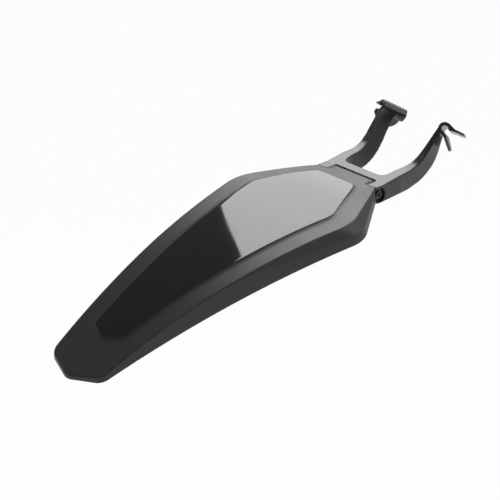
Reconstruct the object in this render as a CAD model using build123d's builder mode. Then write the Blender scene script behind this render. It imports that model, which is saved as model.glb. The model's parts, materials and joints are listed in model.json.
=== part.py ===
# Bicycle mudguard that snaps onto the two rails of a saddle.
# A curved plastic blade hangs on a hinge bolt from a forked bracket,
# and each fork arm twists up into a snap clip for a saddle rail.
# Millimetres. X to the right, Y forward, Z up.
# The origin lies midway between the two rail clips.

import os
from math import acos, asin, atan2, cos, degrees, hypot, radians, sin, sqrt

from build123d import *

# Rail clips
clip_bore = 7.0  # saddle rail diameter
clip_wall = 3.4
clip_length = 29.0
clip_spread = 37.8  # clip centre to the middle plane
clip_reach = 98.4  # hinge axis to clip centre, forward
clip_rise = 41.3  # hinge axis to clip centre, upward
mouth_angle = 72.0  # part of the ring that is left open
upper_lip_root = 21.8  # where each lip leaves the ring
upper_lip_angle = 0.0
upper_lip_length = 15.0
upper_lip_thickness = 2.7
upper_lip_front = 9.3  # radius of the tip's front corner
upper_lip_rear = 5.8  # cut of the tip's rear corner
upper_lip_gusset = 10.0  # the ring's outside blends into the lip up to here
lower_lip_angle = -51.5
lower_lip_length = 16.7
lower_lip_thickness = 2.9
lower_lip_setback = 1.9  # the lower lip sits this far behind the ring
lower_lip_front = 13.0
lower_lip_rear = 12.0

# Fork bracket
fork_half = 41.0  # middle plane to the outer faces of the lugs
fork_depth = 19.9  # height of the arms where they leave the base
deck_rise = 9.8  # hinge axis to the flat top
lug_radius = 9.0
beak_reach = 5.6  # hinge axis to the stop edge behind each lug
knuckle_half = 27.9  # half length of the blade's hinge knuckle
knuckle_gap = 0.4  # side clearance between knuckle and lugs
crossbar_front = 17.8
base_front = 30.0  # where the straight base ends and the arms begin
base_climb = 3.2  # rise of the base's top at its front
crotch_half = 26.6
crotch_front_half = 28.8
crotch_corner = 7.0
arm_end_pitch = 56.7
arm_end_twist = 28.2
arm_end_thickness = 4.7
arm_end_depth = 18.3
arm_end_inset = 0.5  # arm end inside the clip's outer faces

# Hinge fasteners, an M5 button head screw with washer and lock nut
bolt_diameter = 5.0
bolt_clearance = 0.1  # radial play of the bolt in its bores
head_diameter = 9.5
head_height = 2.75
socket_flats = 3.0
socket_depth = 1.6
head_round = 2.2  # edge radius of the button head
washer_diameter = 15.0
washer_thickness = 1.2
nut_flats = 8.0
nut_height = 5.0
seat_clearance = 0.3  # radial room around washer and nut
seat_depth = 4.2
nut_recess = 1.6  # nut and bolt end lie this far inside the left lug

# Mudguard blade
flat_length = 8.0  # flat stretch of the top behind the hinge axis
blade_radius = 716.0  # curve of the top behind it, seen from the side
wall = 3.0
draft = 6.0  # flare of the side walls below the crease
crease_rise = 4.9  # crease plane above the hinge axis, at the hinge
crease_slope = 6.8
front_half = 36.8  # half width of the outline at the hinge axis
wide_half = 86.3  # widest place, at the crease
wide_y = -69.0
wide_corner = 32.0
tail_half = 32.5
tail_y = -354.0
tail_corner = 8.0
tip_y = -365.2
tip_corner = 12.0
shoulder_height = 12.0  # above the crease, where the shoulder outline is drawn
shoulder_half = 80.2
shoulder_y = -79.8
shoulder_corner = 48.0
skirt_front = 12.5  # depth of the side walls at the hinge axis
skirt_wide = 20.2  # depth at the widest place
skirt_middle = 19.3  # depth halfway to the tail
skirt_tail = 1.6  # measured just behind the tip
front_gap = 0.3  # rest clearance between the blade and the lugs' stop edges
knuckle_front = 5.3
knuckle_radius = 8.6
groove = 1.6  # visible gap ahead of the knuckle
swing_clearance = 0.4  # radial room between the lugs and the blade around them
front_wall = 3.5

# Raised panel on the blade
panel_height = 2.2
panel_front_half = 26.5
panel_front_y = -20.5
panel_wide_half = 55.5
panel_wide_y = -77.0
panel_tail_half = 17.5
panel_tail_y = -311.0
panel_tip_y = -318.0
panel_front_corner = 9.0
panel_wide_corner = 20.0
panel_tail_corner = 5.0
panel_edge = 1.5

# Datum planes through the hinge axis
hinge = Vector(0, -clip_reach, -clip_rise)
side = Plane(origin=hinge, x_dir=(0, 1, 0), z_dir=(1, 0, 0))
level = Plane(origin=hinge)
tilt = radians(crease_slope)
crease = Plane(
    origin=hinge + Vector(0, 0, crease_rise),
    x_dir=(1, 0, 0),
    z_dir=(0, -sin(tilt), cos(tilt)),
)
overall = 2 * wide_half


def top_z(y):
    # height of the blade's curved top above the hinge axis
    return deck_rise - blade_radius + sqrt(blade_radius**2 - (y + flat_length) ** 2)


def arm_frame(pitch, twist):
    # run, depth and outward directions of the right arm's section
    run = Vector(0, cos(radians(pitch)), sin(radians(pitch)))
    plain = Vector(0, run.Z, -run.Y)
    depth = plain * cos(radians(twist)) + Vector(-sin(radians(twist)), 0, 0)
    return run, depth, depth.cross(run)


def mirrored_outline(half, corners):
    # right half of an outline from front to tip, mirrored, then its corners rounded
    with BuildSketch() as outline:
        with BuildLine():
            Polyline((0, half[0][1]), *half, close=True)
        make_face()
        mirror(about=Plane.YZ)
        for row, radius in corners:
            fillet(outline.vertices().group_by(Axis.Y)[row], radius=radius)
    return outline.sketch


# Fork bracket, built as a right half and mirrored
clip_run, clip_axis, clip_out = arm_frame(arm_end_pitch, arm_end_twist)
clip_centre = Vector(clip_spread, 0, 0)
clip_plane = Plane(origin=clip_centre, x_dir=clip_out, z_dir=clip_axis * -1)
bore_radius = clip_bore / 2
ring_radius = bore_radius + clip_wall
ring_middle = bore_radius + clip_wall / 2
slot_half = knuckle_half + knuckle_gap
recess_radius = hypot(knuckle_front + groove, deck_rise)


def clip_direction(angle):
    return clip_out * cos(radians(angle)) + clip_run * sin(radians(angle))


arm_end = (
    clip_centre
    - clip_out * (ring_radius - arm_end_thickness / 2 - arm_end_inset)
    - clip_axis * ((clip_length - arm_end_depth) / 2 - arm_end_inset)
)
base_top = deck_rise + base_climb
base_thickness = fork_half - crotch_front_half
# each station: across, forward and up from the hinge, pitch, twist, thickness, depth
arm_stations = [
    (fork_half - base_thickness / 2, base_front, base_top - fork_depth / 2, 0, 0, base_thickness, fork_depth),
    (34.4, 44.4, 4.3, 26, 2.5, 11.2, 21.3),
    (35.8, 61.1, 10.1, 47, 3.0, 9.5, 20.7),
    (37.4, 84.3, 34.3, 50, 18.0, 5.6, 17.6),
]

with BuildPart() as fork_bracket:
    with BuildSketch(side):
        with BuildLine():
            beak_foot = sqrt(lug_radius**2 - beak_reach**2)
            Polyline(
                (0, -lug_radius),
                (base_front, base_top - fork_depth),
                (base_front, base_top),
                (crossbar_front, deck_rise + base_climb / 2),
                (knuckle_front + groove, deck_rise),
                (-beak_reach, deck_rise),
                (-beak_reach, beak_foot),
            )
            ThreePointArc((-beak_reach, beak_foot), (-lug_radius, 0), (0, -lug_radius))
        make_face()
    extrude(amount=fork_half)
    with BuildSketch(level) as crotch:
        with BuildLine():
            Polyline(
                (0, crossbar_front),
                (crotch_half, crossbar_front),
                (crotch_front_half, base_front),
                (0, base_front),
                close=True,
            )
        make_face()
        fillet(crotch.vertices().group_by(Axis.Y)[0].sort_by(Axis.X)[-1], radius=crotch_corner)
    extrude(amount=overall, both=True, mode=Mode.SUBTRACT)
    with BuildSketch(side):
        Circle(recess_radius)
    extrude(amount=slot_half, mode=Mode.SUBTRACT)
    # arm, lofted through its stations from the base to the clip
    for across, forward, up, pitch, twist, thickness, depth in arm_stations:
        run, down, out = arm_frame(pitch, twist)
        with BuildSketch(Plane(origin=hinge + Vector(across, forward, up), x_dir=down, z_dir=run)):
            Rectangle(depth, thickness)
    with BuildSketch(Plane(origin=arm_end, x_dir=clip_axis, z_dir=clip_run)):
        Rectangle(arm_end_depth, arm_end_thickness)
    loft()
    # snap clip
    with BuildSketch(clip_plane):
        Circle(ring_radius)
        with BuildLine():
            reach = 2 * ring_radius
            Polyline(
                (0, 0),
                (reach, 0),
                (reach, -reach),
                (reach * cos(radians(mouth_angle)), -reach * sin(radians(mouth_angle))),
                close=True,
            )
        make_face(mode=Mode.SUBTRACT)
        with BuildLine():
            lip_top = ring_middle * sin(radians(upper_lip_root)) + upper_lip_thickness / 2
            gusset_root = acos(ring_radius / hypot(upper_lip_gusset, lip_top)) + atan2(lip_top, upper_lip_gusset)
            Polyline(
                (ring_middle, 0),
                (upper_lip_gusset, lip_top),
                (ring_radius * cos(gusset_root), ring_radius * sin(gusset_root)),
                close=True,
            )
        make_face()
    extrude(amount=clip_length / 2, both=True)
    upper_lip = (upper_lip_root, upper_lip_angle, upper_lip_length, upper_lip_thickness)
    lower_lip = (-mouth_angle, lower_lip_angle, lower_lip_length, lower_lip_thickness)
    for (root, angle, length, thickness), setback, front, rear in (
        (upper_lip, 0, upper_lip_front, upper_lip_rear),
        (lower_lip, lower_lip_setback, lower_lip_front, lower_lip_rear),
    ):
        lip_plane = Plane(
            origin=clip_centre + clip_direction(root) * ring_middle,
            x_dir=clip_direction(angle),
            z_dir=clip_direction(angle + 90),
        )
        with BuildSketch(lip_plane) as lip:
            with Locations((0, -setback)):
                Rectangle(length, clip_length, align=(Align.MIN, Align.CENTER))
            fillet(lip.vertices().group_by(Axis.Y)[-1].sort_by(Axis.X)[-1], radius=front)
            chamfer(lip.vertices().group_by(Axis.Y)[0].sort_by(Axis.X)[-1], length=rear)
        extrude(amount=thickness / 2, both=True)
    with BuildSketch(clip_plane):
        Circle(bore_radius)
    extrude(amount=clip_length, both=True, mode=Mode.SUBTRACT)
    mirror(about=Plane.YZ)
    # seats of the hinge bolt: round for the washer on the right, hexagonal for the nut on the left
    with BuildSketch(side):
        Circle(bolt_diameter / 2 + bolt_clearance)
    extrude(amount=fork_half, both=True, mode=Mode.SUBTRACT)
    with BuildSketch(side.offset(fork_half)):
        Circle(washer_diameter / 2 + seat_clearance)
    extrude(amount=-seat_depth, mode=Mode.SUBTRACT)
    with BuildSketch(side.offset(-fork_half)):
        RegularPolygon(nut_flats / 2 + seat_clearance, 6, major_radius=False)
    extrude(amount=nut_recess + nut_height, mode=Mode.SUBTRACT)

# Hinge fasteners
washer_seat = fork_half - seat_depth
head_seat = washer_seat + washer_thickness
bolt_end = nut_recess - fork_half
bolt_radius = bolt_diameter / 2

with BuildPart() as hinge_washer:
    with BuildSketch(side.offset(washer_seat)):
        Circle(washer_diameter / 2)
        Circle(bolt_radius + bolt_clearance, mode=Mode.SUBTRACT)
    extrude(amount=washer_thickness)

with BuildPart() as hinge_bolt:
    with BuildSketch(side.offset(head_seat)):
        Circle(head_diameter / 2)
    extrude(amount=head_height)
    fillet(hinge_bolt.edges().sort_by(Axis.X)[-1], radius=head_round)
    with BuildSketch(side.offset(head_seat + head_height)):
        RegularPolygon(socket_flats / 2, 6, major_radius=False)
    extrude(amount=-socket_depth, mode=Mode.SUBTRACT)
    with BuildSketch(side.offset(head_seat)):
        Circle(bolt_radius)
    extrude(amount=bolt_end - head_seat)

with BuildPart() as hinge_nut:
    with BuildSketch(side.offset(bolt_end)):
        RegularPolygon(nut_flats / 2, 6, major_radius=False)
        Circle(bolt_radius, mode=Mode.SUBTRACT)
    extrude(amount=nut_height)

# Mudguard blade
blade_outline = mirrored_outline(
    [(front_half, 0), (wide_half, wide_y), (tail_half, tail_y), (0, tip_y)],
    [(2, wide_corner), (1, tail_corner), (0, tip_corner)],
)
shoulder_outline = mirrored_outline(
    [(front_half, 0), (shoulder_half, shoulder_y), (tail_half, tail_y), (0, tip_y)],
    [(2, shoulder_corner), (1, tail_corner), (0, tip_corner)],
)
panel_outline = mirrored_outline(
    [
        (panel_front_half, panel_front_y),
        (panel_wide_half, panel_wide_y),
        (panel_tail_half, panel_tail_y),
        (0, panel_tip_y),
    ],
    [(3, panel_front_corner), (2, panel_wide_corner), (1, panel_tail_corner), (0, panel_tail_corner)],
)
blade_front = -(beak_reach + front_gap)
swing_radius = lug_radius + swing_clearance
cavity_front = -(swing_radius + front_wall)
end_y = tip_y - wall - deck_rise
middle_y = (wide_y + tip_y) / 2
drop = deck_rise - top_z(end_y) + skirt_wide
curve_angle = degrees(asin((-end_y - flat_length) / blade_radius))


def drafted_walls(inset):
    # closed walls: drawn in above the crease to the shoulder outline, flared below it
    with BuildPart() as walls:
        with BuildSketch(crease) as footprint:
            add(blade_outline)
            if inset > 0:
                offset(amount=-inset, mode=Mode.REPLACE)
        with BuildSketch(crease.offset(shoulder_height)):
            add(shoulder_outline)
            if inset > 0:
                offset(amount=-inset, mode=Mode.REPLACE)
        loft(ruled=True)
        extrude(footprint.sketch, amount=-drop, taper=-draft)
    return walls.part


def below_top(lift, front):
    # everything under the curved top, raised by lift, from the front line to behind the tail
    with BuildPart() as band:
        with BuildSketch(side):
            with BuildLine():
                flat = Line((deck_rise, deck_rise + lift), (-flat_length, deck_rise + lift))
                curve = JernArc(flat @ 1, (-1, 0), blade_radius + lift, curve_angle)
                Polyline(curve @ 1, ((curve @ 1).X, -drop), (deck_rise, -drop), flat @ 0)
            make_face()
            with Locations((front, 0)):
                Rectangle(overall, 2 * drop, align=(Align.MIN, Align.CENTER), mode=Mode.SUBTRACT)
        extrude(amount=overall, both=True)
    return band.part


def panel_prism(inset):
    with BuildPart() as prism:
        with BuildSketch(level):
            add(panel_outline)
            if inset > 0:
                offset(amount=-inset, mode=Mode.REPLACE)
        extrude(amount=drop, both=True)
    return prism.part


with BuildPart() as raised_panel:
    add(panel_prism(0))
    add(below_top(panel_height, 0), mode=Mode.INTERSECT)
    add(below_top(-wall / 2, 0), mode=Mode.SUBTRACT)
    panel_top = raised_panel.faces().sort_by(SortBy.AREA)[-2:].sort_by(Axis.Z)[-1]
    fillet(panel_top.edges(), radius=panel_edge)

with BuildPart() as tyre_space:
    add(drafted_walls(wall))
    add(below_top(-wall, cavity_front), mode=Mode.INTERSECT)

with BuildPart() as panel_hollow:
    add(panel_prism(wall))
    add(below_top(panel_height - wall, cavity_front), mode=Mode.INTERSECT)

with BuildPart() as mudguard_blade:
    add(drafted_walls(0))
    add(below_top(0, blade_front), mode=Mode.INTERSECT)
    # lower edge of the side walls
    with BuildSketch(side):
        with BuildLine():
            lower = ThreePointArc(
                (end_y, top_z(end_y) - skirt_tail),
                (middle_y, top_z(middle_y) - skirt_middle),
                (wide_y, top_z(wide_y) - skirt_wide),
            )
            Polyline(lower @ 1, (0, deck_rise - skirt_front), (0, -drop), (end_y, -drop), lower @ 0)
        make_face()
    extrude(amount=overall, both=True, mode=Mode.SUBTRACT)
    add(raised_panel.part)
    add(tyre_space.part, mode=Mode.SUBTRACT)
    add(panel_hollow.part, mode=Mode.SUBTRACT)
    # room for the lugs to turn, then the knuckle between them
    with BuildSketch(side):
        Circle(swing_radius)
    extrude(amount=overall, both=True, mode=Mode.SUBTRACT)
    with BuildSketch(side):
        Circle(knuckle_radius)
        with BuildLine():
            Polyline(
                (knuckle_front, deck_rise),
                (-flat_length, deck_rise),
                (-flat_length, deck_rise - wall),
                (cavity_front, deck_rise - wall),
                (cavity_front, deck_rise - skirt_front),
                (0, -knuckle_radius),
                (0, 0),
                (knuckle_front, knuckle_radius - wall),
                close=True,
            )
        make_face()
    extrude(amount=knuckle_half, both=True)
    with BuildSketch(side):
        Circle(bolt_radius + bolt_clearance)
    extrude(amount=knuckle_half, both=True, mode=Mode.SUBTRACT)

# Export, one file for each piece
mudguard_blade.part.label = "mudguard_blade"
fork_bracket.part.label = "fork_bracket"
hinge_bolt.part.label = "hinge_bolt"
hinge_washer.part.label = "hinge_washer"
hinge_nut.part.label = "hinge_nut"
os.makedirs("parts", exist_ok=True)
export_step(mudguard_blade.part, "parts/mudguard_blade.step")
export_step(fork_bracket.part, "parts/fork_bracket.step")
export_step(hinge_bolt.part, "parts/hinge_bolt.step")
export_step(hinge_washer.part, "parts/hinge_washer.step")
export_step(hinge_nut.part, "parts/hinge_nut.step")
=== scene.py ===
# Bicycle mudguard on a saddle rail fork, dressed for a studio picture
import json
from math import cos, radians, sin, sqrt, tan

import bmesh
import bpy
import numpy as np
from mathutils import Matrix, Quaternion, Vector


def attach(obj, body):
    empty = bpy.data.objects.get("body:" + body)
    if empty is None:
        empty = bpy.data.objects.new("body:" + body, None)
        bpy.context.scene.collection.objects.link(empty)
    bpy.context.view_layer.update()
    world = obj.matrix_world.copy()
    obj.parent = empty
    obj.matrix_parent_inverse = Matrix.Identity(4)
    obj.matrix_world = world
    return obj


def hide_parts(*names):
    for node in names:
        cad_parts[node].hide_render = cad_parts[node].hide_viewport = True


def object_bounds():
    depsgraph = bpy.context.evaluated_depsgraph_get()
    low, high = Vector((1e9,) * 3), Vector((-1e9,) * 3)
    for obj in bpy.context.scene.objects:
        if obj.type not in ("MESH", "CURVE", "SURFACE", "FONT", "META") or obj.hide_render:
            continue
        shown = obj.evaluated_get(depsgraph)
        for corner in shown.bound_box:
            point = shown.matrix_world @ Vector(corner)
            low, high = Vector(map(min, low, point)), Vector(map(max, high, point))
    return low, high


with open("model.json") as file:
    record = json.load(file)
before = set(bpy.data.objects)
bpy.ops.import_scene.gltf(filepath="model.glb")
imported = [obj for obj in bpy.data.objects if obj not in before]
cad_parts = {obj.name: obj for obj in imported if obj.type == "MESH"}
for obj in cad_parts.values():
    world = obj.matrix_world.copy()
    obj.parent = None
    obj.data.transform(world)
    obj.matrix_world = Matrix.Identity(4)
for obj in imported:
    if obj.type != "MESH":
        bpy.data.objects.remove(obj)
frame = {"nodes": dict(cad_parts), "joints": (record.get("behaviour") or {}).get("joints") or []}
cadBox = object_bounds()
nodes = frame["nodes"]
hingeAt = np.array(frame["joints"][0]["pos_m"])  # the hinge axis, in metres
millimetre = 0.001
weldDistance = 2e-6  # metres, closer points become one
tiny = 1e-6  # millimetres, keeps divisions off zero
print("frame loaded")

# Blade, in millimetres from the hinge axis
blade = {
    "deckRise": 9.8,  # hinge axis to the flat top
    "flatLength": 8.0,
    "radius": 716.0,  # curve of the top, seen from the side
    "wall": 3.0,
    "flare": 6.0,  # degrees that the walls spread below the crease
    "creaseRise": 4.9,
    "creaseSlope": 6.8,  # degrees
    "creaseSoft": 0.3,
    "creaseClear": 2.0,  # wall that is left above and below the crease
    "outline": [(36.8, 0.0), (86.3, -69.0), (32.5, -354.0), (0.0, -365.15)],
    "outlineBends": [32.0, 8.0, 12.0],
    "shoulder": [(36.8, 0.0), (80.2, -79.8), (32.5, -354.0), (0.0, -365.15)],
    "shoulderBends": [48.0, 8.0, 12.0],
    "shoulderHeight": 12.0,
    "skirtFront": 12.5,  # depth of the walls below the top
    "skirtWide": 20.9,
    "skirtMiddle": 20.7,
    "skirtTail": 1.3,
    "skirtEnd": 13.0,  # how far behind the tip the tail skirt is measured
    "frontY": -5.9,
    "swingRadius": 9.4,  # room for the lugs
    "frontWall": 3.5,
    "edgeRound": 1.3,
    "frontRound": 0.5,
    "joinRound": 0.02,  # where the deck runs on into the knuckle
    "footRound": 1.1,
}

# Raised panel, in millimetres from the hinge axis
panel = {
    "outline": [(0.0, -20.5), (26.5, -20.5), (56.3, -80.0), (20.0, -312.0), (0.0, -320.0)],
    "bends": [12.0, 22.0, 6.0, 6.0],
    "heights": (3.0, 1.9),  # of its edge, at the hinge and further back
    "fall": (-35.0, -95.0),  # where the height falls from one to the other
    "crown": 0.02,  # how much the top swells from its edge to its middle
    "turn": 0.13,  # and how much more it turns down at the sides
    "turnPower": 2.5,
    "turnWidth": 20.0,  # half width from which that turn is full
    "edge": 0.15,
    "rimRise": 0.1,  # the side rims climb this much from their outer edge to the panel
    "coveRise": (1.9, 2.8),  # then sweep up by no more than this, at the hinge side and along the walls
    "coveWidth": 6.5,
    "coveStart": 0.3,  # share of the first wall run over which the second rise is reached
    "step": 0.05,  # that is left between the cove and the panel's rounded edge
}

# Hinge knuckle of the blade, in millimetres from the hinge axis
knuckle = {
    "half": 27.9,
    "front": 5.3,
    "radius": 8.6,
    "bore": 2.6,
    "edgeRound": 0.5,
    "rear": -11.0,
    "rearTop": 7.5,
    "topPoints": 8,
    "cornerPoints": 6,
    "nosePoints": 33,
    "rings": 12,  # across its width
}

# Rows and columns of the blade's grid
steps = {
    "front": 20,  # along the hinge side
    "runs": [44, 130, 14],  # along the three side runs
    "bend": 10,
    "frontCrowd": 0.97,  # share of the hinge side where its columns start to crowd to the corner
    "sideCrowd": 0.03,  # and of the first side run where they end
    "cornerEase": 0.25,  # share of that run over which the corner's own row heights fade
    "face": 4,  # points down the front face
    "swing": 9,  # points round the room for the lugs
    "upper": 4,  # rows above the crease
    "upperPower": 1.8,  # rows crowd towards the crease, which keeps it crisp
    "lowerPower": 1.6,
    "rimInner": 12,  # rows on the half of the rim beside the panel
    "rimOuter": 7,
    "edge": 6,  # points of a rounded edge
    "foot": 5,
    "roof": 7,
    "inner": (0.3, 0.6, 0.85, 1.0),  # shares up the inner wall
    "search": (-120.0, 40.0),  # wall heights between which a level is looked for
    "halvings": 60,
}


def lerp(a, b, share):
    return a + (b - a) * share


def eased(share):
    # cubic from 0 to 1 that starts and ends level
    return share * share * (3 - 2 * share)


def unit(v):
    return v / np.maximum(np.linalg.norm(v, axis=-1, keepdims=True), tiny)


def raised(flat, z):
    # flat points with a height each
    return np.concatenate([flat, z[:, None]], 1)


def circleThrough(a, b, c):
    # centre and radius of the circle through three points
    a, b, c = (np.array(p, float) for p in (a, b, c))
    rows = 2 * np.array([b - a, c - a])
    centre = np.linalg.solve(rows, [b @ b - a @ a, c @ c - a @ a])
    return centre, np.linalg.norm(a - centre)


def bend(a, corner, b, count):
    # quadratic curve from a to b that leaves and arrives towards the corner
    share = np.linspace(0, 1, count)[:, None, None]
    return (1 - share) ** 2 * a + 2 * share * (1 - share) * corner + share**2 * b


def topHeight(y):
    # flat ahead of the start line, then a circle's arc that falls towards the tail
    back = np.minimum(y + blade["flatLength"], 0.0)
    return blade["deckRise"] - blade["radius"] + np.sqrt(blade["radius"] ** 2 - back**2)


def roofHeight(y):
    return topHeight(y) - blade["wall"]


def roundedPath(corners, bends, runs, bendSteps):
    # straight runs between corners, each corner replaced by a circle's arc that touches both runs,
    # with fixed counts so that two such paths match point by point
    corners = np.array(corners, float)
    points = [corners[:1]]
    for i, radius in enumerate(bends):
        before, corner, after = corners[i], corners[i + 1], corners[i + 2]
        toBefore = (before - corner) / np.linalg.norm(before - corner)
        toAfter = (after - corner) / np.linalg.norm(after - corner)
        half = 0.5 * np.arccos(np.clip(toBefore @ toAfter, -1, 1))
        reach = radius / np.tan(half)
        centre = corner + (toBefore + toAfter) / np.linalg.norm(toBefore + toAfter) * radius / np.sin(half)
        start = corner + toBefore * reach
        end = corner + toAfter * reach
        share = np.linspace(0, 1, runs[i] + 1)[1:, None]
        points.append(points[-1][-1] * (1 - share) + start * share)
        a0 = np.arctan2(*(start - centre)[::-1])
        a1 = np.arctan2(*(end - centre)[::-1])
        turn = (a1 - a0 + np.pi) % (2 * np.pi) - np.pi
        angles = a0 + turn * np.linspace(0, 1, bendSteps + 1)[1:]
        points.append(centre + radius * np.stack([np.cos(angles), np.sin(angles)], 1))
    whole = np.concatenate(points)
    return whole[: len(whole) - bendSteps // 2]  # the tip's arc ends on the middle plane


def halfOutline(corners, bends, runs):
    # right half of an outline from its start to the tip, whose far neighbour is mirrored
    mirrored = (-corners[-2][0], corners[-2][1])
    return roundedPath(corners + [mirrored], bends, runs, steps["bend"])


def outward(path):
    # normal of a path that runs clockwise seen from above, from its direction turned to the right hand
    along = np.gradient(path, axis=0)
    normal = np.stack([-along[:, 1], along[:, 0]], 1)
    normal[-1] = (0, -1)
    return normal / np.linalg.norm(normal, axis=1, keepdims=True)


tilt = radians(blade["creaseSlope"])
spreadPerDepth = tan(radians(blade["flare"]))
creaseLine = halfOutline(blade["outline"], blade["outlineBends"], steps["runs"])
shoulderLine = halfOutline(blade["shoulder"], blade["shoulderBends"], steps["runs"])
creaseOut = outward(creaseLine)
wallLean = (shoulderLine - creaseLine) / blade["shoulderHeight"]


def wallPoint(base, lean, out, height):
    # a wall point over a crease point: leaning to the shoulder above the crease, spreading by the flare
    # below it, with the two slopes eased into each other
    soft = np.sqrt(height**2 + blade["creaseSoft"] ** 2)
    above = 0.5 * (soft + height)[..., None]
    below = 0.5 * (soft - height)[..., None]
    flat = base + lean * above + out * below * spreadPerDepth
    y = flat[..., 1] * cos(tilt) - height * sin(tilt)
    z = blade["creaseRise"] + flat[..., 1] * sin(tilt) + height * cos(tilt)
    return np.stack([flat[..., 0], y, z], -1)


def wallAt(y, z, inset):
    # the first wall run at a given y and z: its plane's own coordinates give the height, and the share
    # along the run follows from a linear equation
    height = -y * sin(tilt) + (z - blade["creaseRise"]) * cos(tilt)
    along = y * cos(tilt) + (z - blade["creaseRise"]) * sin(tilt)
    soft = np.sqrt(height**2 + blade["creaseSoft"] ** 2)
    spread = 0.5 * (soft - height) * spreadPerDepth - inset
    start, end = (
        creaseLine[i] + wallLean[i] * 0.5 * (soft + height) + creaseOut[1] * spread
        for i in (0, steps["runs"][0])
    )
    share = (along - start[1]) / (end[1] - start[1])
    return lerp(start[0], end[0], share), share


def heightAlong(base, lean, out, level):
    # wall height at which a wall line meets a level given as a function of y, by halving
    low, high = (np.full(len(base), end) for end in steps["search"])
    for _ in range(steps["halvings"]):
        middle = 0.5 * (low + high)
        point = wallPoint(base, lean, out, middle)
        over = point[:, 2] > level(point[:, 1])
        high = np.where(over, middle, high)
        low = np.where(over, low, middle)
    return 0.5 * (low + high)


wideY = blade["outline"][1][1]
tipY = blade["outline"][3][1]
endY = tipY - blade["skirtEnd"]
middleY = 0.5 * (wideY + tipY)
skirtCentre, skirtRadius = circleThrough(
    (endY, topHeight(endY) - blade["skirtTail"]),
    (middleY, topHeight(middleY) - blade["skirtMiddle"]),
    (wideY, topHeight(wideY) - blade["skirtWide"]),
)


def skirtHeight(y):
    # lower edge of the walls: a straight line from the hinge to the widest place, then a circle's arc
    curved = skirtCentre[1] + np.sqrt(np.maximum(skirtRadius**2 - (y - skirtCentre[0]) ** 2, 0))
    front = blade["deckRise"] - blade["skirtFront"]
    wide = topHeight(wideY) - blade["skirtWide"]
    straight = front + (wide - front) * y / wideY
    return np.where(y > wideY, straight, curved)


def gridFaces(rows, columns, closed):
    # four-sided faces of a grid of points, closed round the columns if asked
    r = np.arange(rows - 1)[:, None]
    c = np.arange(columns if closed else columns - 1)[None, :]
    n = (c + 1) % columns
    corners = [r * columns + c, r * columns + n, (r + 1) * columns + n, (r + 1) * columns + c]
    return np.stack([np.broadcast_to(k, (rows - 1, c.size)) for k in corners], -1).reshape(-1, 4)


def meshFrom(name, parts, materials):
    # joins grids of points, each with its faces and the index of its material, into one mesh
    points = []
    faces = []
    marks = []
    offset = 0
    for grid, faceRows, mark in parts:
        points.append(grid.reshape(-1, 3))
        faces.append(faceRows + offset)
        marks.append(np.full(len(faceRows), mark))
        offset += grid.size // 3
    points = np.concatenate(points) * millimetre + hingeAt
    faces = np.concatenate(faces)
    mesh = bpy.data.meshes.new(name)
    mesh.from_pydata(points.tolist(), [], faces.tolist())
    for material in materials:
        mesh.materials.append(material)
    mesh.polygons.foreach_set("material_index", np.concatenate(marks).astype(np.int32))
    mesh.polygons.foreach_set("use_smooth", np.ones(len(mesh.polygons), bool))
    mesh.update()
    obj = bpy.data.objects.new(name, mesh)
    bpy.context.scene.collection.objects.link(obj)
    return obj


def weld(obj):
    # merges points that lie on each other, drops faces without area, and turns all faces outwards: a closed
    # surface whose volume comes out negative is turned over
    work = bmesh.new()
    work.from_mesh(obj.data)
    bmesh.ops.remove_doubles(work, verts=work.verts, dist=weldDistance)
    bmesh.ops.dissolve_degenerate(work, dist=weldDistance, edges=work.edges)
    bmesh.ops.recalc_face_normals(work, faces=work.faces)
    waiting = set(work.faces)
    while waiting:
        island = [waiting.pop()]
        for face in island:
            near = {other for e in face.edges for other in e.link_faces} & waiting
            waiting -= near
            island.extend(near)
        if sum(f.normal.dot(f.calc_center_median()) * f.calc_area() for f in island) < 0:
            bmesh.ops.reverse_faces(work, faces=island)
    work.to_mesh(obj.data)
    work.free()


def wholeLoop(half):
    # the right half from the front's middle to the tip, followed by its mirror image back to the front
    left = half[:, -2:0:-1] * np.array([-1.0, 1.0, 1.0])
    return np.concatenate([half, left], 1)


def panelRise(y):
    # height of the panel's edge over the blade's top, easing from the front height to the back one
    start, end = panel["fall"]
    return lerp(*panel["heights"], eased(np.clip((start - y) / (start - end), 0, 1)))


def panelHeight(x, y, half):
    # the blade's top plus the edge's height, a parabola across and a steeper turn at the sides, which fades
    # where the panel narrows to its tip
    swell = panel["crown"] * (1 - (x / panel["outline"][2][0]) ** 2)
    turn = panel["turn"] * np.minimum(half / panel["turnWidth"], 1)
    return topHeight(y) + panelRise(y) + swell + turn * (1 - np.abs(x / half) ** panel["turnPower"])


def hollowHeight(x, y, half):
    # the panel's underside, one wall below its top
    return panelHeight(x, y, half) - blade["wall"]


def panelGrid(edge, height):
    # rows across the panel between its two mirrored edges, the first one along the front edge itself
    first = steps["front"]
    share = np.arange(-first, first + 1) / first
    half = np.maximum(edge[first:, :1], tiny)
    x = half * share
    y = np.repeat(edge[first:, 1:2], len(share), 1)
    x[0] = np.concatenate([-edge[first:0:-1, 0], edge[: first + 1, 0]])
    y[0] = np.concatenate([edge[first:0:-1, 1], edge[: first + 1, 1]])
    return np.stack([x, y, height(x, y, half)], -1)


def edgeHeight(edge, height):
    # the same height along the panel's edge, where the half width is the edge's own x along the sides and
    # the corner's x along the front
    first = steps["front"]
    half = edge[:, 0].copy()
    half[:first] = half[first]
    return height(edge[:, 0], edge[:, 1], np.maximum(half, tiny))


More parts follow.
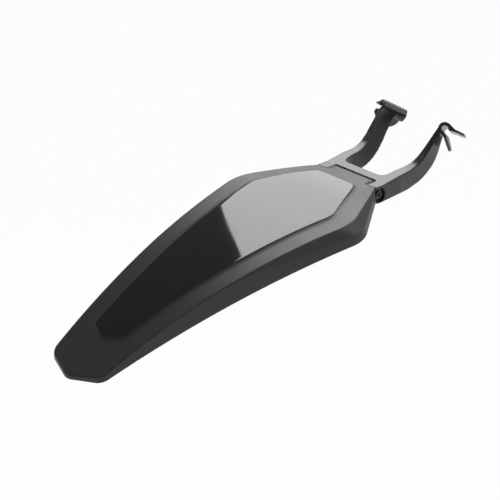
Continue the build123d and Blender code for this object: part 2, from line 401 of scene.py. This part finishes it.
def buildKnuckle():
    # a round nose with a flat top, its side profile carried across between two flat ends, and the bolt's
    # bore carried back, so that the surface closes like a ring
    front, radius, edge = knuckle["front"], knuckle["radius"], knuckle["edgeRound"]
    deck = blade["deckRise"]
    noseZ = sqrt(radius**2 - front**2)
    topY = np.linspace(blade["frontY"], front - edge, knuckle["topPoints"])
    corner = np.linspace(0.5 * np.pi, 0, knuckle["cornerPoints"])[1:]
    nose = np.linspace(np.arctan2(noseZ, front), -0.5 * np.pi, knuckle["nosePoints"])
    slope = (deck - blade["skirtFront"] + radius) / -(blade["swingRadius"] + blade["frontWall"])
    rear = knuckle["rear"]
    rearTop = knuckle["rearTop"]
    outline = np.concatenate([
        np.stack([topY, np.full(len(topY), deck)], 1),
        np.stack([front - edge + edge * np.cos(corner), deck - edge + edge * np.sin(corner)], 1),
        [(front, 0.5 * (deck - edge + noseZ))],
        radius * np.stack([np.cos(nose), np.sin(nose)], 1),
        [(s * rear, -radius + slope * s * rear) for s in (0.33, 0.66, 1.0)],
        [(rear, lerp(-radius + slope * rear, rearTop, s)) for s in (0.25, 0.5, 0.75, 1.0)],
        [(0.5 * (rear + blade["frontY"]), 0.5 * (rearTop + deck))],
    ])
    angles = np.unwrap(np.arctan2(outline[:, 1], outline[:, 0]))
    bore = knuckle["bore"] * np.stack([np.cos(angles), np.sin(angles)], 1)
    half = knuckle["half"]
    rings = [(bore, -half)]
    rings += [(outline, x) for x in np.linspace(-half, half, knuckle["rings"])]
    rings += [(bore, half), (bore, -half)]
    grid = np.array([np.concatenate([np.full((len(p), 1), x), p], 1) for p, x in rings])
    return grid, gridFaces(*grid.shape[:2], True), 0


def buildBlade(materials):
    # one loop round the panel carried through a profile: panel edge, cove, rim, rounded edge, wall, foot,
    # inner wall and roof; the loop's front run is the hinge side, its other runs are the walls
    run = steps["runs"][0]
    halfBend = steps["bend"] // 2
    extra = steps["bend"] - halfBend  # columns that crowd behind the front corner
    foot = halfOutline(panel["outline"], panel["bends"], [steps["front"]] + steps["runs"])
    footOut = outward(foot)

    # columns of the hinge side, as shares of the half width
    across = np.concatenate([
        np.linspace(0, steps["frontCrowd"], steps["front"] + 1),
        np.linspace(steps["frontCrowd"], 1, halfBend + 1)[1:],
    ])
    frontCount = len(across)
    # columns of the first wall run, as shares from the corner
    runShare = np.concatenate([
        np.linspace(0, steps["sideCrowd"], extra + 1)[1:],
        np.linspace(steps["sideCrowd"], 1, run + 1)[1:],
    ])
    runCount = len(runShare)
    base = np.concatenate([np.repeat(creaseLine[:1], extra, 0), creaseLine[1:]])
    lean = np.concatenate([np.repeat(wallLean[:1], extra, 0), wallLean[1:]])
    out = np.concatenate([np.repeat(creaseOut[1:2], extra, 0), creaseOut[1:]])

    def sideRow(y0, z0, inset, place):
        # a level line on the hinge side, then the walls from its corner on, with their heights by place
        x0, share0 = wallAt(y0, z0, inset)
        share = (share0 + (1 - share0) * runShare)[:, None]
        rowBase = base.copy()
        rowLean = lean.copy()
        rowBase[:runCount] = lerp(creaseLine[0], creaseLine[run], share)
        rowLean[:runCount] = lerp(wallLean[0], wallLean[run], share)
        rowBase = rowBase - out * inset
        front = np.stack([across * x0, np.full(frontCount, y0), np.full(frontCount, z0)], 1)
        return np.concatenate([front, wallPoint(rowBase, rowLean, out, place(rowBase, rowLean))])

    def atLevel(level):
        return lambda rowBase, rowLean: heightAlong(rowBase, rowLean, out, level)

    def onWall(upperShare, lowerShare, cornerShare):
        # a share of the way from the rim to the crease, or else from the crease to the skirt, which the
        # corner's own share of the whole way eases into
        def place(rowBase, rowLean):
            rimAt = heightAlong(rowBase, rowLean, out, topHeight)
            low = heightAlong(rowBase, rowLean, out, skirtHeight)
            crease = np.minimum(0.0, rimAt - blade["creaseClear"])
            crease = np.maximum(crease, low + blade["creaseClear"])
            inner = lerp(crease, low, lowerShare) if lowerShare else lerp(rimAt, crease, upperShare)
            ease = np.ones(len(rowBase))
            ease[:runCount] = np.clip(runShare / steps["cornerEase"], 0, 1)
            return lerp(lerp(rimAt, low, cornerShare), inner, eased(ease))

        return place

    # hinge side profile: a short front face, then the room for the lugs, then the foot
    frontY = blade["frontY"]
    deck = blade["deckRise"]
    swing = blade["swingRadius"]
    lipZ = sqrt(swing**2 - frontY**2)
    turn = np.linspace(np.arctan2(lipZ, frontY), np.pi, steps["swing"])
    footZ = float(skirtHeight(-swing))
    face = [(frontY, z) for z in np.linspace(deck, lipZ, steps["face"])]
    face += [(swing * np.cos(a), swing * np.sin(a)) for a in turn[1:]]
    face += [(-swing, footZ * s) for s in (0.5, 1.0)]

    rim = sideRow(frontY, deck, 0.0, atLevel(topHeight))
    upper = steps["upper"]
    lower = len(face) - 1 - upper
    wallRows = []
    for i, (y, z) in enumerate(face[1:], 1):
        upperShare = 1 - (1 - min(i / upper, 1)) ** steps["upperPower"]
        lowerShare = max((i - upper) / lower, 0) ** steps["lowerPower"]
        place = onWall(upperShare, lowerShare, (deck - z) / (deck - footZ))
        wallRows.append(sideRow(y, z, 0.0, place))
    innerY = -(swing + blade["frontWall"])
    innerFoot = sideRow(innerY, float(skirtHeight(innerY)), blade["wall"], atLevel(skirtHeight))
    innerTop = sideRow(innerY, float(roofHeight(innerY)), blade["wall"], atLevel(roofHeight))

    # rim, from the panel's foot to the rounded edge, climbing and sweeping up to the panel along the walls
    footHeight = topHeight(foot[:, 1])
    side = eased(np.clip((np.arange(len(foot)) - frontCount) / (panel["coveStart"] * run), 0, 1))
    climb = panel["rimRise"] * side
    room = panelRise(foot[:, 1]) - panel["edge"] - panel["step"] - climb
    coveTop = np.minimum(lerp(*panel["coveRise"], side), room)
    footPoint = raised(foot, footHeight + climb + coveTop)
    besideKnuckle = across * rim[frontCount - 1, 0] > knuckle["half"]
    edgeRound = np.full((len(foot), 1), blade["edgeRound"])
    edgeRound[:frontCount, 0] = np.where(besideKnuckle, blade["frontRound"], blade["joinRound"])
    rimStart = rim + unit(raised(foot, footHeight) - rim) * edgeRound
    wallStart = rim + unit(wallRows[0] - rim) * edgeRound
    shares = np.concatenate([
        np.linspace(0, 0.5, steps["rimInner"] + 1)[1:],
        np.linspace(0.5, 1, steps["rimOuter"] + 1)[1:-1],
    ])
    rimRows = []
    for share in shares:
        flat = lerp(foot, rimStart[:, :2], share)
        away = np.linalg.norm(flat - foot, axis=1) / panel["coveWidth"]
        cove = coveTop * np.clip(1 - away, 0, 1) ** 2 + climb * (1 - share)
        rimRows.append(raised(flat, topHeight(flat[:, 1]) + cove))
    edgeRows = bend(rimStart, rim, wallStart, steps["edge"])

    # panel edge, a quarter round from the top down to the foot
    topEdge = foot - footOut * panel["edge"]
    topZ = edgeHeight(topEdge, panelHeight)
    panelRows = []
    for angle in np.linspace(0, 0.5 * np.pi, steps["edge"]):
        flat = topEdge + footOut * panel["edge"] * sin(angle)
        panelRows.append(raised(flat, topZ - panel["edge"] * (1 - cos(angle))))
    panelRows.append(footPoint)

    # foot of the walls, rounded outside and inside
    outerFoot = wallRows[-1]
    sole = unit(innerFoot - outerFoot) * blade["footRound"]
    outerUp = unit(wallRows[-2] - outerFoot) * blade["footRound"]
    innerUp = unit(innerTop - innerFoot) * blade["footRound"]
    footRows = np.concatenate([
        bend(outerFoot + outerUp, outerFoot, outerFoot + sole, steps["foot"]),
        bend(innerFoot - sole, innerFoot, innerFoot + innerUp, steps["foot"]),
    ])

    # inner wall, roof and the hollow under the panel
    innerRows = [lerp(innerFoot + innerUp, innerTop, share) for share in steps["inner"]]
    hollow = foot - footOut * blade["wall"]
    roofRows = []
    for share in np.linspace(0, 1, steps["roof"] + 1)[1:]:
        flat = lerp(innerTop[:, :2], hollow, share)
        roofRows.append(raised(flat, roofHeight(flat[:, 1])))
    roofRows.append(raised(hollow, edgeHeight(hollow, hollowHeight)))

    gloss = wholeLoop(np.array(panelRows))
    shell = wholeLoop(np.concatenate([
        [footPoint], rimRows, edgeRows, wallRows[1:-1], footRows, innerRows, roofRows,
    ]))
    top = panelGrid(topEdge, panelHeight)
    under = panelGrid(hollow, hollowHeight)[:, ::-1]
    parts = [
        (gloss, gridFaces(*gloss.shape[:2], True), 1),
        (shell, gridFaces(*shell.shape[:2], True), 0),
        (top, gridFaces(*top.shape[:2], False), 1),
        (under, gridFaces(*under.shape[:2], False), 0),
        buildKnuckle(),
    ]
    obj = meshFrom("blade", parts, materials)
    weld(obj)
    return obj


# Fork bracket, lengths in metres for the mesh and in millimetres from the hinge axis for the arms
fork = {
    "voxel": 0.0006,
    "rounding": 10,  # averaging passes that round the edges
    "averaging": 0.5,  # how far each pass moves a point to its neighbours' middle
    "topLine": [(30.0, 13.0), (39.7, 13.9), (53.5, 17.2), (77.6, 40.0), (98.0, 60.0)],  # arm top, y and z
    "footLine": [(30.0, -6.9), (49.1, -5.3), (68.7, 3.0), (91.0, 28.6), (110.0, 55.0)],
    "swell": (71.0, 10.0, 1.7),  # y, half width and height of a soft bump on the arm top
}


def buildFork(material):
    # a merged copy of the bracket's solid, remeshed finely, with its edges rounded by averaging neighbours,
    # then a bell-shaped bump on the arms' top that fades to nothing at the arms' foot
    obj = bpy.data.objects.new("fork", nodes["fork_bracket"].data.copy())
    bpy.context.scene.collection.objects.link(obj)
    weld(obj)
    remesh = obj.modifiers.new("remesh", "REMESH")
    remesh.mode = "VOXEL"
    remesh.voxel_size = fork["voxel"]
    smooth = obj.modifiers.new("round", "SMOOTH")
    smooth.factor = fork["averaging"]
    smooth.iterations = fork["rounding"]
    ready = obj.evaluated_get(bpy.context.evaluated_depsgraph_get())
    mesh = bpy.data.meshes.new_from_object(ready)
    obj.modifiers.clear()
    obj.data = mesh
    flat = np.empty(3 * len(mesh.vertices))
    mesh.vertices.foreach_get("co", flat)
    points = (flat.reshape(-1, 3) - hingeAt) / millimetre
    y, z = points[:, 1], points[:, 2]
    top = np.interp(y, *np.transpose(fork["topLine"]))
    foot = np.interp(y, *np.transpose(fork["footLine"]))
    share = np.clip((z - foot) / (top - foot), 0, 1)
    middle, half, height = fork["swell"]
    points[:, 2] += height * share * np.exp(-(((y - middle) / half) ** 2))
    mesh.vertices.foreach_set("co", (points * millimetre + hingeAt).ravel())
    mesh.polygons.foreach_set("use_smooth", np.ones(len(mesh.polygons), bool))
    mesh.materials.clear()
    mesh.materials.append(material)
    mesh.update()
    return obj


# Finishes
moulding = {
    "band": (0.3, 0.7),  # range of the noises that is used
    "grainDetail": 3.0,
    "grainRough": 0.6,
    "cloudDetail": 4.0,
    "cloudRough": 0.55,
    "edgeSamples": 6,
}
rimLook = {
    "grainScale": 2600.0,
    "cloudScale": 45.0,
    "roughness": 0.44,
    "roughSpread": 0.03,
    "darkTone": (0.036, 0.036, 0.037),
    "lightTone": (0.048, 0.048, 0.049),
    "bump": 0.1,
    "bumpDepth": 0.0002,
    "edgeRound": 0.0,
    "ior": 1.51,
}
forkLook = {
    "grainScale": 1900.0,
    "cloudScale": 60.0,
    "roughness": 0.225,
    "roughSpread": 0.025,
    "darkTone": (0.026, 0.026, 0.027),
    "lightTone": (0.034, 0.034, 0.035),
    "bump": 0.004,
    "bumpDepth": 0.0002,
    "edgeRound": 0.0,
    "ior": 1.55,
}
panelLook = {
    "grainScale": 130.0,
    "cloudScale": 22.0,
    "roughness": 0.05,
    "roughSpread": 0.015,
    "darkTone": (0.010, 0.010, 0.0105),
    "lightTone": (0.013, 0.013, 0.0135),
    "bump": 0.01,
    "bumpDepth": 0.0004,
    "edgeRound": 0.0,
    "ior": 1.52,
}
steelLook = {
    "grainScale": 1500.0,
    "cloudScale": 300.0,
    "roughness": 0.32,
    "roughSpread": 0.06,
    "darkTone": (0.012, 0.012, 0.0125),
    "lightTone": (0.022, 0.022, 0.0225),
    "bump": 0.10,
    "bumpDepth": 0.0001,
    "edgeRound": 0.0003,  # metres, shaded only
    "ior": 1.55,
}
fullWhite = (1, 1, 1, 1)


def newMaterial(name):
    material = bpy.data.materials.new(name)
    material.use_nodes = True
    tree = material.node_tree
    return material, tree, tree.nodes["Principled BSDF"]


def addNode(tree, kind, **values):
    # a node with its inputs or its settings given by name
    node = tree.nodes.new(kind)
    for key, value in values.items():
        if key in node.inputs:
            node.inputs[key].default_value = value
        else:
            setattr(node, key, value)
    return node


def mapRange(tree, value, source, target, **values):
    # a value carried from the source range to the target range
    node = addNode(tree, "ShaderNodeMapRange", **values)
    for key, number in zip(("From Min", "From Max", "To Min", "To Max"), (*source, *target)):
        node.inputs[key].default_value = number
    tree.links.new(value, node.inputs["Value"])
    return node.outputs["Result"]


def combine(tree, operation, *sources):
    # a sum, product or the like of other nodes' outputs and plain numbers
    node = addNode(tree, "ShaderNodeMath", operation=operation)
    for socket, source in zip(node.inputs, sources):
        if isinstance(source, bpy.types.NodeSocket):
            tree.links.new(source, socket)
        else:
            socket.default_value = source
    return node.outputs["Value"]


def mixShaders(tree, share, first, second, target):
    # blends two shaders by a share and sends the blend to a target socket
    mix = addNode(tree, "ShaderNodeMixShader")
    tree.links.new(share, mix.inputs["Fac"])
    tree.links.new(first, mix.inputs[1])
    tree.links.new(second, mix.inputs[2])
    tree.links.new(mix.outputs["Shader"], target)


def grainMaterial(name, look):
    # moulded plastic: a fine grain as bump, cloudy differences in gloss, and edges that shade as rounded
    material, tree, shader = newMaterial(name)
    link = tree.links.new
    place = addNode(tree, "ShaderNodeTexCoord")
    noises = {}
    for kind in ("grain", "cloud"):
        noise = addNode(tree, "ShaderNodeTexNoise", Scale=look[kind + "Scale"])
        noise.inputs["Detail"].default_value = moulding[kind + "Detail"]
        noise.inputs["Roughness"].default_value = moulding[kind + "Rough"]
        link(place.outputs["Object"], noise.inputs["Vector"])
        noises[kind] = noise.outputs["Fac"]
    glossRange = (look["roughness"] - look["roughSpread"], look["roughness"] + look["roughSpread"])
    link(mapRange(tree, noises["cloud"], moulding["band"], glossRange), shader.inputs["Roughness"])
    tone = addNode(tree, "ShaderNodeValToRGB")
    ends = zip(tone.color_ramp.elements, moulding["band"], (look["darkTone"], look["lightTone"]))
    for element, position, colour in ends:
        element.position = position
        element.color = (*colour, 1)
    link(noises["grain"], tone.inputs["Fac"])
    link(tone.outputs["Color"], shader.inputs["Base Color"])
    bump = addNode(tree, "ShaderNodeBump", Strength=look["bump"], Distance=look["bumpDepth"])
    link(noises["grain"], bump.inputs["Height"])
    if look["edgeRound"]:
        rounded = addNode(tree, "ShaderNodeBevel", samples=moulding["edgeSamples"], Radius=look["edgeRound"])
        link(rounded.outputs["Normal"], bump.inputs["Normal"])
    link(bump.outputs["Normal"], shader.inputs["Normal"])
    shader.inputs["IOR"].default_value = look["ior"]
    return material


rimPlastic = grainMaterial("rimPlastic", rimLook)
panelGloss = grainMaterial("panelGloss", panelLook)
forkPlastic = grainMaterial("forkPlastic", forkLook)
blackSteel = grainMaterial("blackSteel", steelLook)
print("finishes made")

bladeObject = buildBlade([rimPlastic, panelGloss])
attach(bladeObject, "blade")
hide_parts("mudguard_blade")
print("blade made:", len(bladeObject.data.polygons), "faces")

forkObject = buildFork(forkPlastic)
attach(forkObject, "bracket")
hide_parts("fork_bracket")
print("fork made:", len(forkObject.data.polygons), "faces")

for nodeName in ("hinge_bolt", "hinge_washer", "hinge_nut"):
    nodes[nodeName].data.materials.clear()
    nodes[nodeName].data.materials.append(blackSteel)
print("fasteners finished")

# Studio, lengths in metres and angles in degrees
studio = {
    "azimuth": 47.5,
    "elevation": 25.2,
    "distance": 1.9971,
    "aim": (-0.0464, -0.0933, -0.0602),  # from the hinge axis
    "focus": 1997.5 / 500,  # focal length as a share of the picture's width
    "sensor": 36.0,  # millimetres
    "clipEnd": 50.0,
    "floorDrop": 0.30,  # floor below the tail
    "floorHalf": 30.0,
    "floorLines": 9,
    "floorTone": (0.9, 0.9, 0.9, 1),
    "floorRough": 0.9,
    "floorWhite": 0.97,  # share of white that the camera sees
    "floorGloss": 1.0,  # and that reflections see near the part
    "floorReach": (0.9, 1.5),  # distance over which that share falls
    "floorFar": 0.25,  # to this one
    "horizonGloss": 0.3,  # share of white that reflections see at the horizon
    "ambient": 0.18,
    "horizon": (8.0, 28.0),  # up to where the backdrop is light, and where its grey is reached
}
softBoxes = {
    "mainBox": {
        "azimuth": 52.3,  # of its axis, from +Y towards -X
        "elevation": 29.3,
        "distance": 0.564,
        "roll": 16.3,
        "shift": (-0.237, 0.1245),  # its middle from the axis, along its own sides
        "width": 0.772,
        "height": 0.444,
        "radiance": (3.42, 5.23),  # at its lower and upper edge
    },
    "sideBox": {
        "azimuth": -50.0,
        "elevation": 26.0,
        "distance": 1.1,
        "roll": 0.0,
        "shift": (0.0, 0.0),
        "width": 0.9,
        "height": 0.55,
        "radiance": (2.0, 2.0),
    },
    "frontBox": {
        "azimuth": 122.0,
        "elevation": 43.0,
        "distance": 3.0,
        "roll": 0.0,
        "shift": (0.0, 0.0),
        "width": 1.3,
        "height": 1.4,
        "radiance": (0.42, 0.42),
    },
}


def skyDirection(values):
    # unit vector towards an azimuth, counted from +Y to -X, and an elevation
    a = radians(values["azimuth"])
    e = radians(values["elevation"])
    return Vector((-sin(a) * cos(e), cos(a) * cos(e), sin(e)))


def buildCamera():
    # the camera looks down along its azimuth, its upper side kept upright
    looking = skyDirection(studio) * Vector((1, 1, -1))
    data = bpy.data.cameras.new("camera")
    data.sensor_width = studio["sensor"]
    data.lens = studio["focus"] * studio["sensor"]
    data.clip_end = studio["clipEnd"]
    camera = bpy.data.objects.new("camera", data)
    bpy.context.scene.collection.objects.link(camera)
    camera.location = Vector(hingeAt) + Vector(studio["aim"]) - looking * studio["distance"]
    camera.rotation_euler = looking.to_track_quat("-Z", "Y").to_euler()
    bpy.context.scene.camera = camera


def buildFloor():
    # a wide level sheet below the part, white to the camera with a trace of the part's shadow, and white in
    # reflections near the part
    low = cadBox[0][2] - studio["floorDrop"]
    line = np.linspace(-studio["floorHalf"], studio["floorHalf"], studio["floorLines"])
    x, y = np.meshgrid(line, line)
    grid = np.stack([x, y, np.full_like(x, low)], -1)
    mesh = bpy.data.meshes.new("floor")
    mesh.from_pydata(grid.reshape(-1, 3).tolist(), [], gridFaces(*x.shape, False).tolist())
    material, tree, shader = newMaterial("floorPaper")
    shader.inputs["Base Color"].default_value = studio["floorTone"]
    shader.inputs["Roughness"].default_value = studio["floorRough"]
    white = addNode(tree, "ShaderNodeEmission", Strength=1.0)
    rays = addNode(tree, "ShaderNodeLightPath")
    mirrored = combine(tree, "MAXIMUM", rays.outputs["Is Glossy Ray"], rays.outputs["Is Transmission Ray"])
    place = addNode(tree, "ShaderNodeTexCoord")
    away = addNode(tree, "ShaderNodeVectorMath", operation="LENGTH")
    tree.links.new(place.outputs["Object"], away.inputs[0])
    glossRange = (studio["floorGloss"], studio["floorFar"])
    fall = mapRange(tree, away.outputs["Value"], studio["floorReach"], glossRange)
    gloss = combine(tree, "MULTIPLY", mirrored, fall)
    share = combine(tree, "MULTIPLY_ADD", rays.outputs["Is Camera Ray"], studio["floorWhite"], gloss)
    target = tree.nodes["Material Output"].inputs["Surface"]
    mixShaders(tree, share, shader.outputs["BSDF"], white.outputs["Emission"], target)
    mesh.materials.append(material)
    floor = bpy.data.objects.new("floor", mesh)
    bpy.context.scene.collection.objects.link(floor)


def buildWorld():
    # even grey light, lighter at the horizon in reflections, and white where the camera looks past the floor
    world = bpy.data.worlds.new("studio")
    bpy.context.scene.world = world
    world.use_nodes = True
    tree = world.node_tree
    grey = tree.nodes["Background"]
    grey.inputs["Color"].default_value = fullWhite
    grey.inputs["Strength"].default_value = studio["ambient"]
    white = addNode(tree, "ShaderNodeBackground", Color=fullWhite, Strength=1.0)
    place = addNode(tree, "ShaderNodeTexCoord")
    part = addNode(tree, "ShaderNodeSeparateXYZ")
    tree.links.new(place.outputs["Generated"], part.inputs["Vector"])
    levels = [sin(radians(angle)) for angle in studio["horizon"]]
    glossRange = (studio["horizonGloss"], 0.0)
    band = mapRange(tree, part.outputs["Z"], levels, glossRange, interpolation_type="SMOOTHSTEP")
    rays = addNode(tree, "ShaderNodeLightPath")
    mirrored = combine(tree, "MAXIMUM", rays.outputs["Is Glossy Ray"], rays.outputs["Is Transmission Ray"])
    seen = combine(tree, "MAXIMUM", combine(tree, "MULTIPLY", mirrored, band), rays.outputs["Is Camera Ray"])
    target = tree.nodes["World Output"].inputs["Surface"]
    mixShaders(tree, seen, grey.outputs["Background"], white.outputs["Background"], target)


def buildSoftBox(name, values):
    # a rectangular lamp that faces the hinge, its radiance growing evenly from its lower to its upper edge
    axis = skyDirection(values)
    turned = axis.to_track_quat("Z", "Y") @ Quaternion((0, 0, 1), radians(-values["roll"]))
    data = bpy.data.lights.new(name, "AREA")
    data.shape = "RECTANGLE"
    data.size = values["width"]
    data.size_y = values["height"]
    data.energy = np.pi * values["width"] * values["height"]  # a radiance of 1, times the strength below
    data.use_nodes = True
    tree = data.node_tree
    place = addNode(tree, "ShaderNodeNewGeometry")
    part = addNode(tree, "ShaderNodeSeparateXYZ")
    tree.links.new(place.outputs["Parametric"], part.inputs["Vector"])
    level = mapRange(tree, part.outputs["Y"], (0.0, 1.0), values["radiance"])
    tree.links.new(level, tree.nodes["Emission"].inputs["Strength"])
    lamp = bpy.data.objects.new(name, data)
    bpy.context.scene.collection.objects.link(lamp)
    lamp.visible_camera = False
    lamp.rotation_euler = turned.to_euler()
    lamp.location = Vector(hingeAt) + axis * values["distance"] + turned @ Vector((*values["shift"], 0))


buildCamera()
buildFloor()
buildWorld()
for boxName, boxValues in softBoxes.items():
    buildSoftBox(boxName, boxValues)
bpy.context.scene.view_settings.view_transform = "Standard"
print("studio built")
